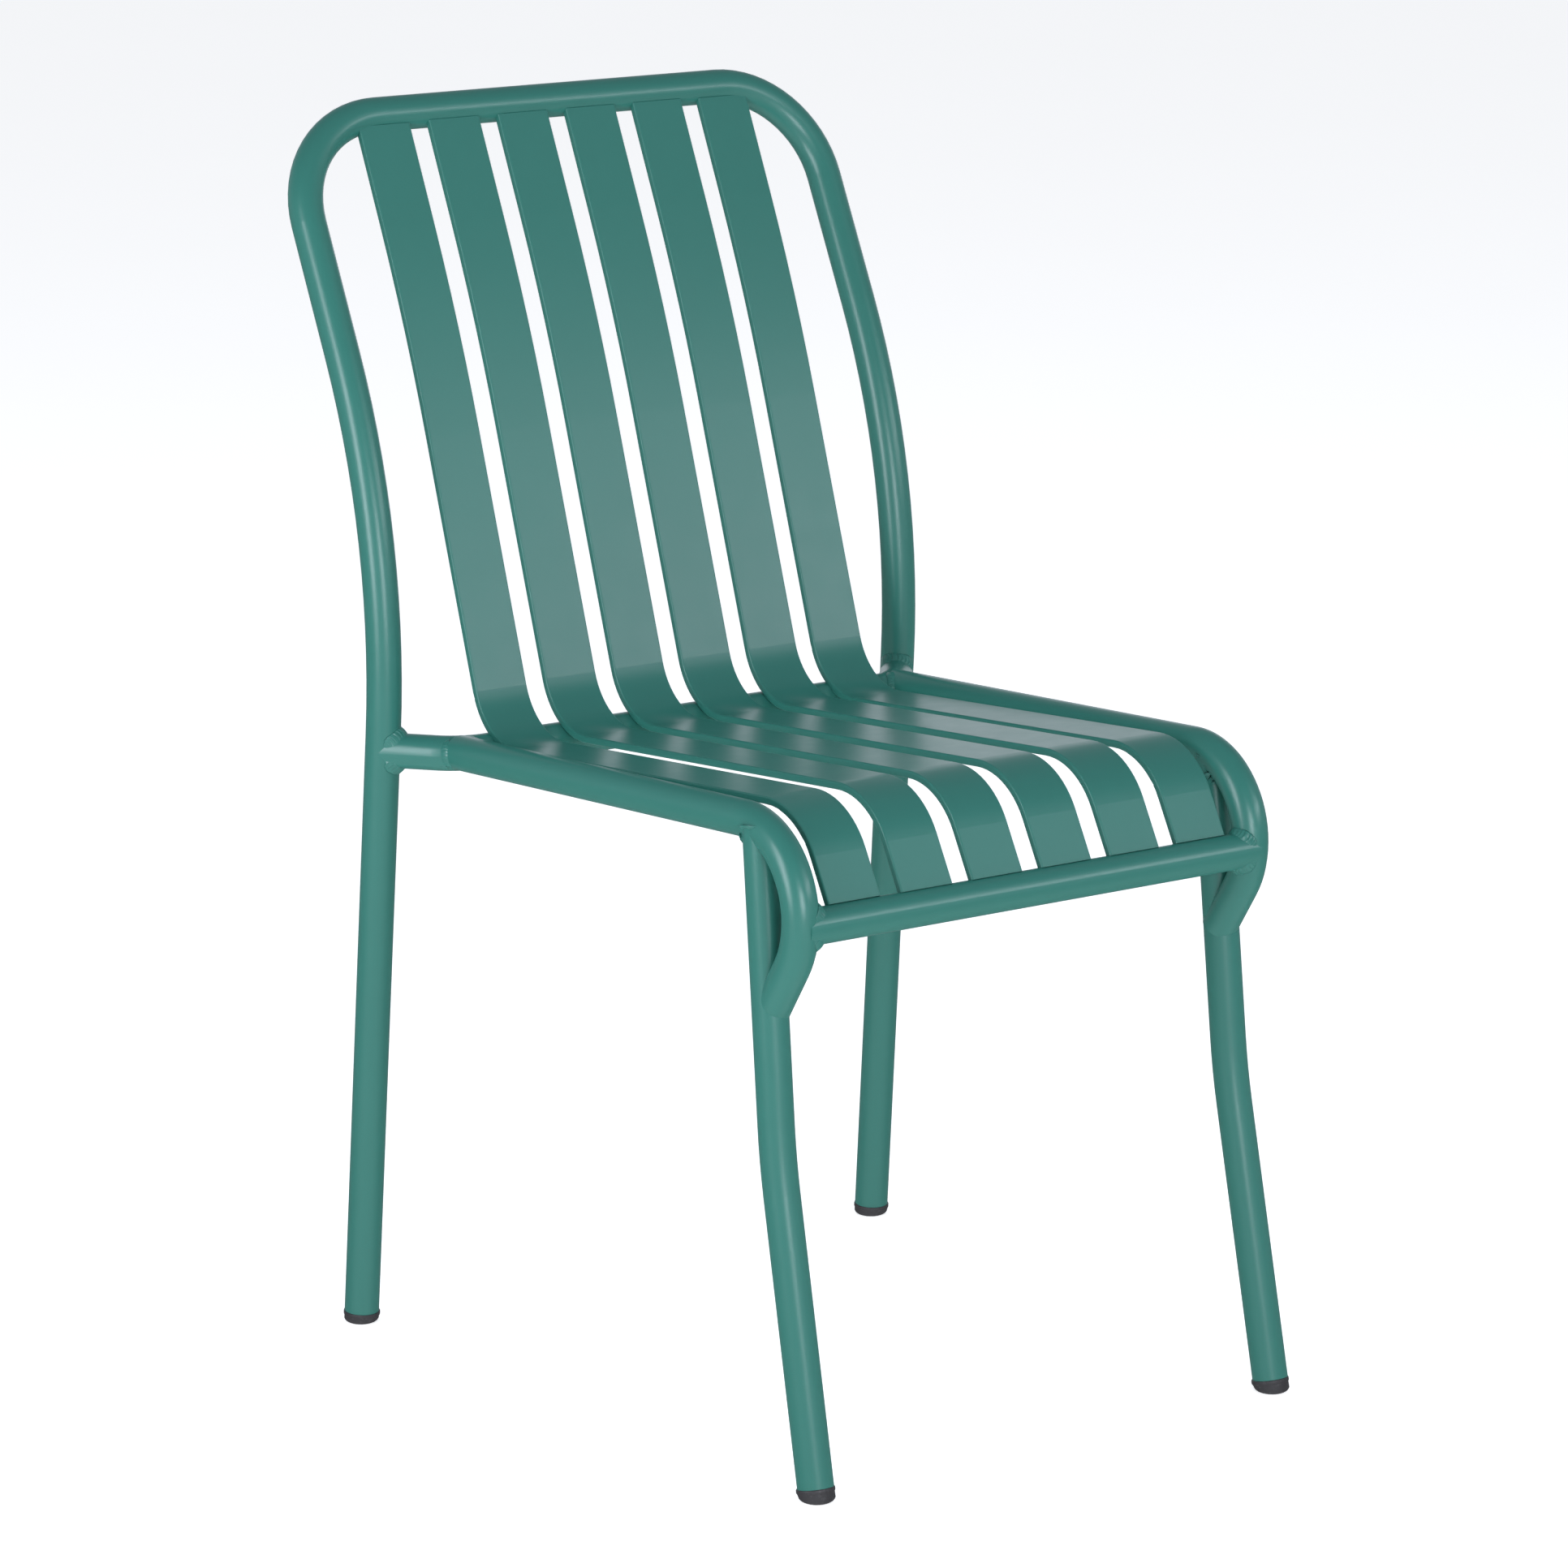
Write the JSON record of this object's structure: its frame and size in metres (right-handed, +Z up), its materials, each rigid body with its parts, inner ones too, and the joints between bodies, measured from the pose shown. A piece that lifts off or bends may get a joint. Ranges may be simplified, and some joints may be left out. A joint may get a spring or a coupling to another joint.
{
  "type": "stacking chair",
  "caption": "Armless stacking chair: bent tube frame with gooseneck front corners and one-piece flat slats from seat front to top rail.",
  "frame": {"origin": "floor point under the centre of the outline", "axes": "the chair faces -Y, +Z is up, +X is across, to the left hand of a person who sits on it; its two sides are mirror images across the YZ plane; node names say left and right as seen from the front, so left is the -X side"},
  "size_m": [0.495, 0.635, 0.8877],
  "materials": {
    "tube_paint": "satin green powder coat on aluminium tube",
    "slat_paint": "satin green powder coat on aluminium flat bar",
    "glide_plastic": "black moulded plastic"
  },
  "bodies": {
    "root": {"back_hoop_tube": "tube_paint", "rear_cross_tube": "tube_paint", "side_rail_left": "tube_paint", "side_rail_right": "tube_paint", "front_leg_left": "tube_paint", "front_leg_right": "tube_paint", "front_cross_tube": "tube_paint", "slat_1": "slat_paint", "slat_2": "slat_paint", "slat_3": "slat_paint", "slat_4": "slat_paint", "slat_5": "slat_paint", "slat_6": "slat_paint", "glide_front_left": "glide_plastic", "glide_front_right": "glide_plastic", "glide_rear_left": "glide_plastic", "glide_rear_right": "glide_plastic"}
  },
  "joints": []
}
